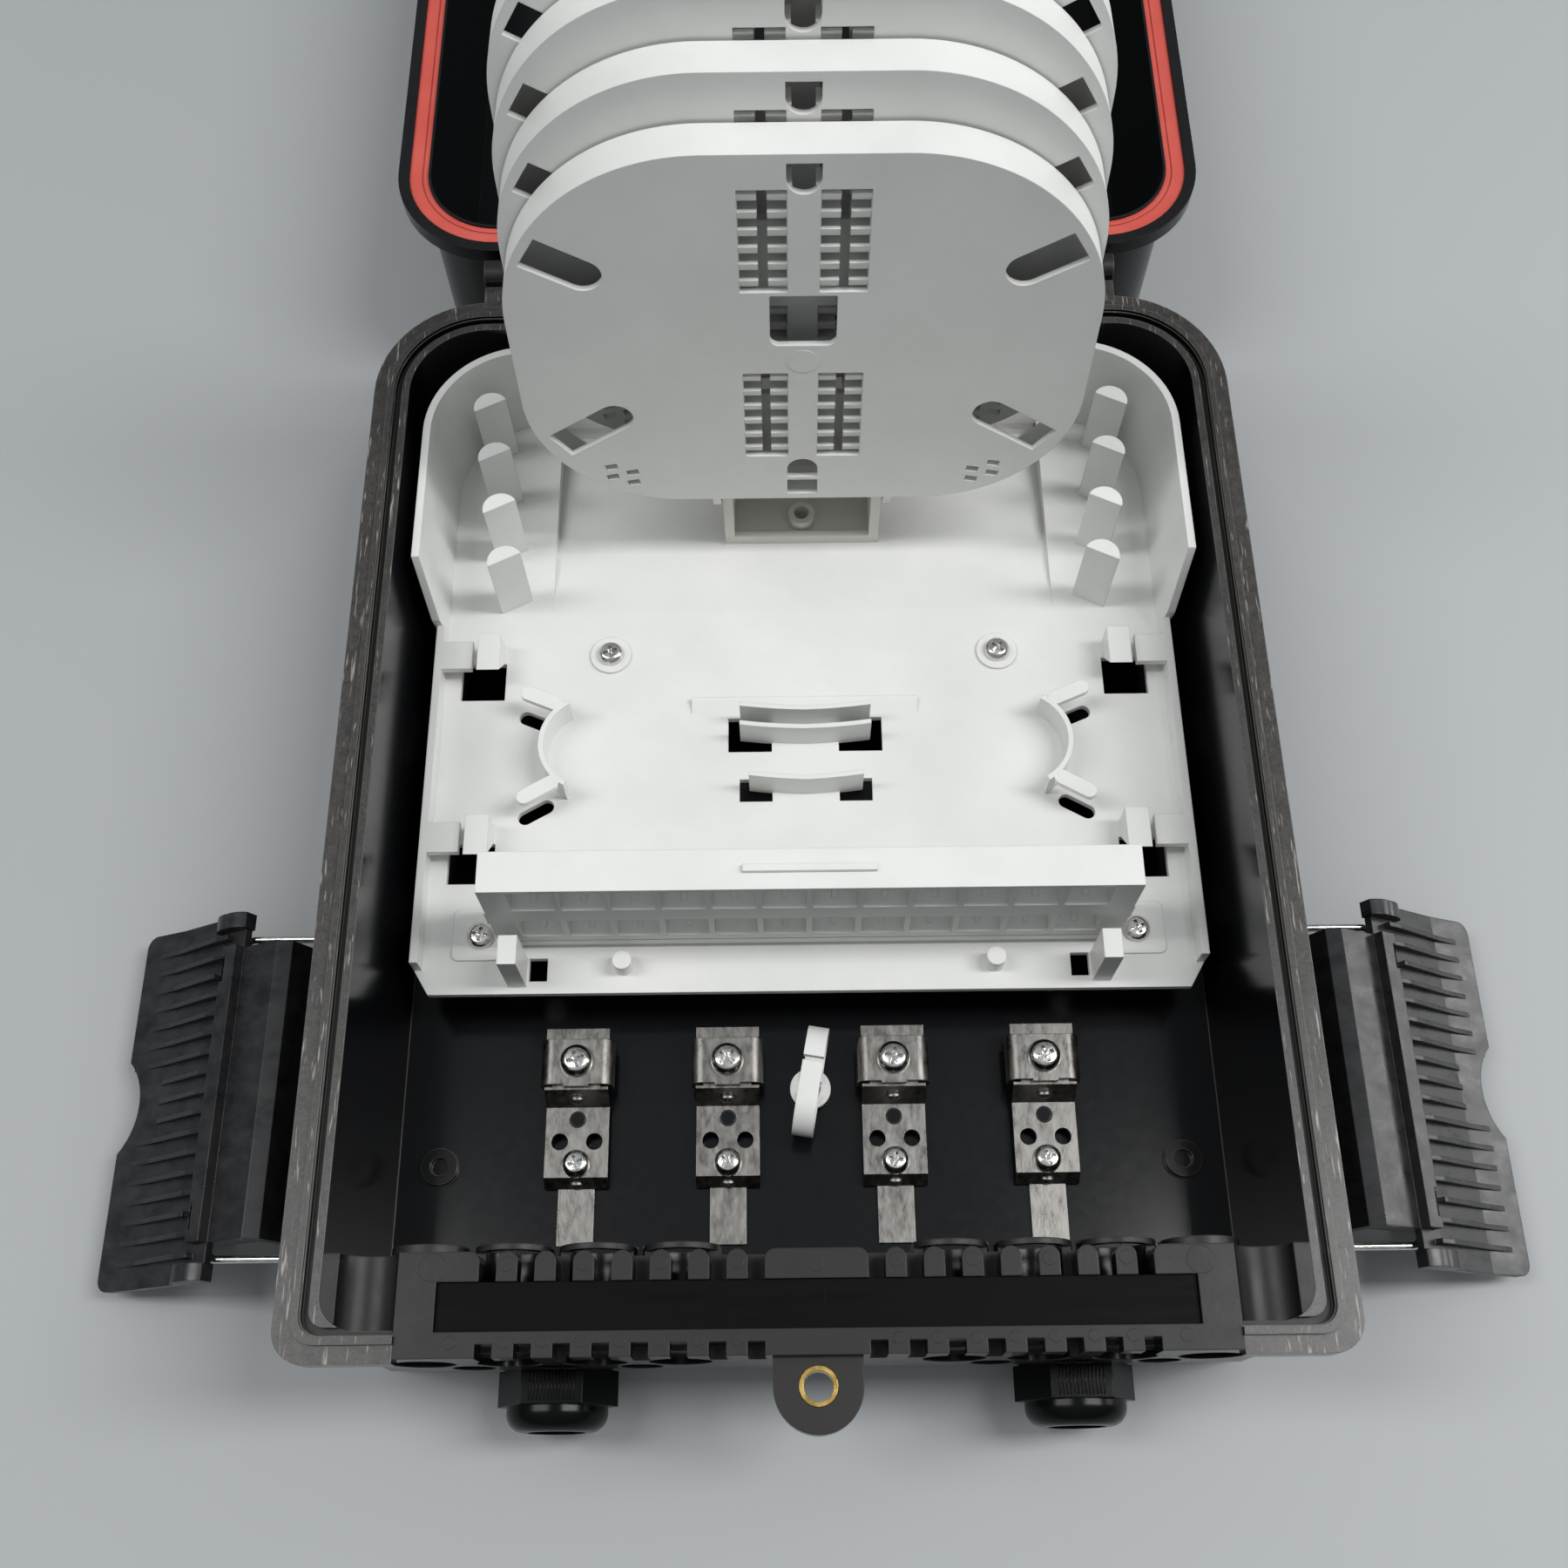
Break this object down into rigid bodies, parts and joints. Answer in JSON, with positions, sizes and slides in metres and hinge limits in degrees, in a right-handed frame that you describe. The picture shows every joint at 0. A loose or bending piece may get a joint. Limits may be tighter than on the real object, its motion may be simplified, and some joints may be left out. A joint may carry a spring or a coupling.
{
  "type": "fibre distribution box",
  "caption": "Hinged moulded box for fibre splicing: open lid with red gasket, flip-up splice trays, adapter panel, cable clamps, comb entry, glands and side latches.",
  "frame": {"origin": "middle of the base's outer back face, between the tub's ends and sides", "axes": "+X right, +Y from the cable entry towards the lid hinge, +Z out of the box"},
  "size_m": [0.377, 0.6419, 0.2106],
  "materials": {
    "black_shell": "satin moulded black",
    "black_handle": "satin moulded black",
    "black_gland": "smooth moulded black",
    "black_rubber": "dull black rubber",
    "red_silicone": "coral red silicone",
    "brass": "turned",
    "bright_steel": "bright zinc",
    "stainless_sheet": "folded sheet",
    "white_plastic": "satin moulded white"
  },
  "bodies": {
    "base": {"base_shell": "black_shell", "entry_head": "black_shell", "seal_strip_left": "black_rubber", "seal_strip_right": "black_rubber", "ear_bush": "brass", "hinge_pin": "bright_steel", "gland_body_left": "black_gland", "gland_body_right": "black_gland", "gland_seal_left": "black_rubber", "gland_seal_right": "black_rubber", "gland_locknut_left": "black_gland", "gland_locknut_right": "black_gland", "splice_plate": "white_plastic", "plate_screws": "bright_steel", "adapter_panel": "white_plastic", "tray_bracket": "white_plastic", "bracket_screw": "bright_steel", "cable_bracket_1": "stainless_sheet", "cable_bracket_2": "stainless_sheet", "cable_bracket_3": "stainless_sheet", "cable_bracket_4": "stainless_sheet", "clamp_saddle_1": "stainless_sheet", "clamp_saddle_2": "stainless_sheet", "clamp_saddle_3": "stainless_sheet", "clamp_saddle_4": "stainless_sheet", "saddle_screws": "bright_steel", "cable_bracket_screws": "bright_steel", "clip_screw": "bright_steel"},
    "lid": {"lid_shell": "black_shell", "lid_gasket": "red_silicone"},
    "gland_nut_left": {"gland_nut_left": "black_gland"},
    "gland_nut_right": {"gland_nut_right": "black_gland"},
    "fibre_clip": {"fibre_clip": "white_plastic"},
    "bail_left": {"latch_bail_left": "bright_steel"},
    "bail_right": {"latch_bail_right": "bright_steel"},
    "handle_left": {"latch_handle_left": "black_handle"},
    "handle_right": {"latch_handle_right": "black_handle"},
    "tray_1": {"splice_tray_1": "white_plastic"},
    "tray_2": {"splice_tray_2": "white_plastic"},
    "tray_3": {"splice_tray_3": "white_plastic"},
    "tray_4": {"splice_tray_4": "white_plastic"}
  },
  "joints": [
    {"name": "lid_hinge", "type": "hinge", "parent": "base", "child": "lid", "pos_m": [0, 0.1615, 0.06225], "axis": [1, 0, 0], "range_deg": [0, 180]},
    {"name": "tray_hinge_1", "type": "hinge", "parent": "base", "child": "tray_1", "pos_m": [0, 0.094, 0.045], "axis": [1, 0, 0], "range_deg": [0, 80]},
    {"name": "tray_hinge_2", "type": "hinge", "parent": "base", "child": "tray_2", "pos_m": [0, 0.1062, 0.0572], "axis": [1, 0, 0], "range_deg": [0, 80]},
    {"name": "tray_hinge_3", "type": "hinge", "parent": "base", "child": "tray_3", "pos_m": [0, 0.1184, 0.0694], "axis": [1, 0, 0], "range_deg": [0, 80]},
    {"name": "tray_hinge_4", "type": "hinge", "parent": "base", "child": "tray_4", "pos_m": [0, 0.1306, 0.0816], "axis": [1, 0, 0], "range_deg": [0, 80]},
    {"name": "gland_nut_left_turn", "type": "hinge", "parent": "base", "child": "gland_nut_left", "pos_m": [-0.0645, -0.15, 0.0175], "axis": [0, -1, 0], "continuous": true},
    {"name": "gland_nut_right_turn", "type": "hinge", "parent": "base", "child": "gland_nut_right", "pos_m": [0.0645, -0.15, 0.0175], "axis": [0, -1, 0], "continuous": true},
    {"name": "clip_swivel", "type": "hinge", "parent": "base", "child": "fibre_clip", "pos_m": [0, -0.0756, 0.005], "axis": [0, 0, 1], "range_deg": [-25, 25]},
    {"name": "bail_left_swing", "type": "hinge", "parent": "base", "child": "bail_left", "pos_m": [-0.1215, -0.079, 0.022], "axis": [0, 1, 0], "range_deg": [0, 76.4]},
    {"name": "handle_left_turn", "type": "hinge", "parent": "bail_left", "child": "handle_left", "pos_m": [-0.1555, -0.079, 0.022], "axis": [0, 1, 0], "range_deg": [-136.4, 0]},
    {"name": "bail_right_swing", "type": "hinge", "parent": "base", "child": "bail_right", "pos_m": [0.1215, -0.079, 0.022], "axis": [0, -1, 0], "range_deg": [0, 76.4]},
    {"name": "handle_right_turn", "type": "hinge", "parent": "bail_right", "child": "handle_right", "pos_m": [0.1555, -0.079, 0.022], "axis": [0, -1, 0], "range_deg": [-136.4, 0]}
  ],
  "couplings": [
    {"joint": "tray_hinge_1", "follows": "lid_hinge", "ratio": 0.44444},
    {"joint": "tray_hinge_2", "follows": "lid_hinge", "ratio": 0.44444},
    {"joint": "tray_hinge_3", "follows": "lid_hinge", "ratio": 0.44444},
    {"joint": "tray_hinge_4", "follows": "lid_hinge", "ratio": 0.44444},
    {"joint": "handle_left_turn", "follows": "bail_left_swing", "ratio": -1.7853},
    {"joint": "handle_right_turn", "follows": "bail_right_swing", "ratio": -1.7853}
  ]
}
